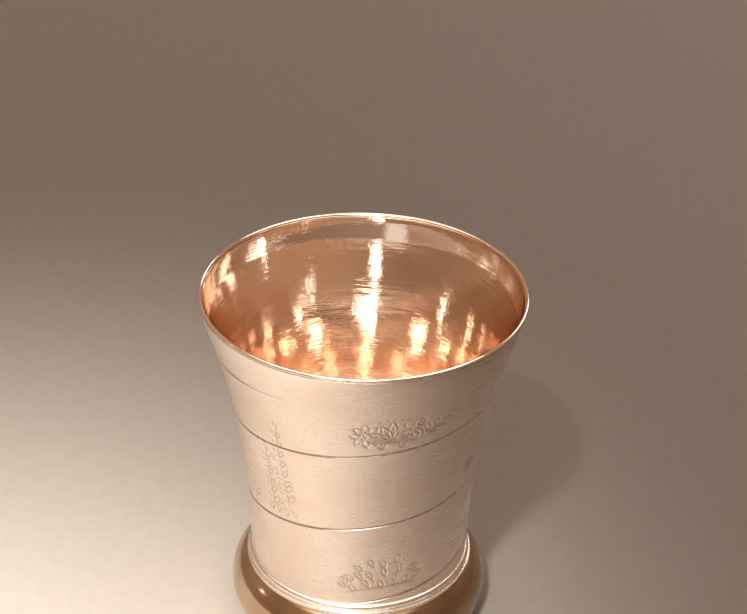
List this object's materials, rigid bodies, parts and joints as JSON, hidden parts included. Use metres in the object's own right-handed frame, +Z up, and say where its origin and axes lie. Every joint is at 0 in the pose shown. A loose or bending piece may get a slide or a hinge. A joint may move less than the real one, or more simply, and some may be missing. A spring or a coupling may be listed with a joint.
{
  "type": "footed beaker cup",
  "caption": "Small footed metal drinking beaker with a flared lip, a gilt inside and one engraved line that winds up its body, shot glass size.",
  "frame": {"origin": "centre of the circle that the foot stands on, at table height", "axes": "+Z up along the axis of the cup; +Y away from the front, which is the side with the engraved crest; +X to the right of the front"},
  "size_m": [0.052, 0.052, 0.06],
  "materials": {
    "satin_silver": "satin, hand polished silver",
    "bright_silver": "bright polished silver",
    "cup_gilt": "highly polished rose gilding",
    "foot_gilt": "polished gilding with brown tarnish"
  },
  "bodies": {
    "root": {"body_wall": "satin_silver", "body_floor": "satin_silver", "gilt_lining": "cup_gilt", "lip_wire": "cup_gilt", "neck_wire": "bright_silver", "neck_fillet": "bright_silver", "foot_roll": "foot_gilt", "base_wire": "foot_gilt"}
  },
  "joints": []
}
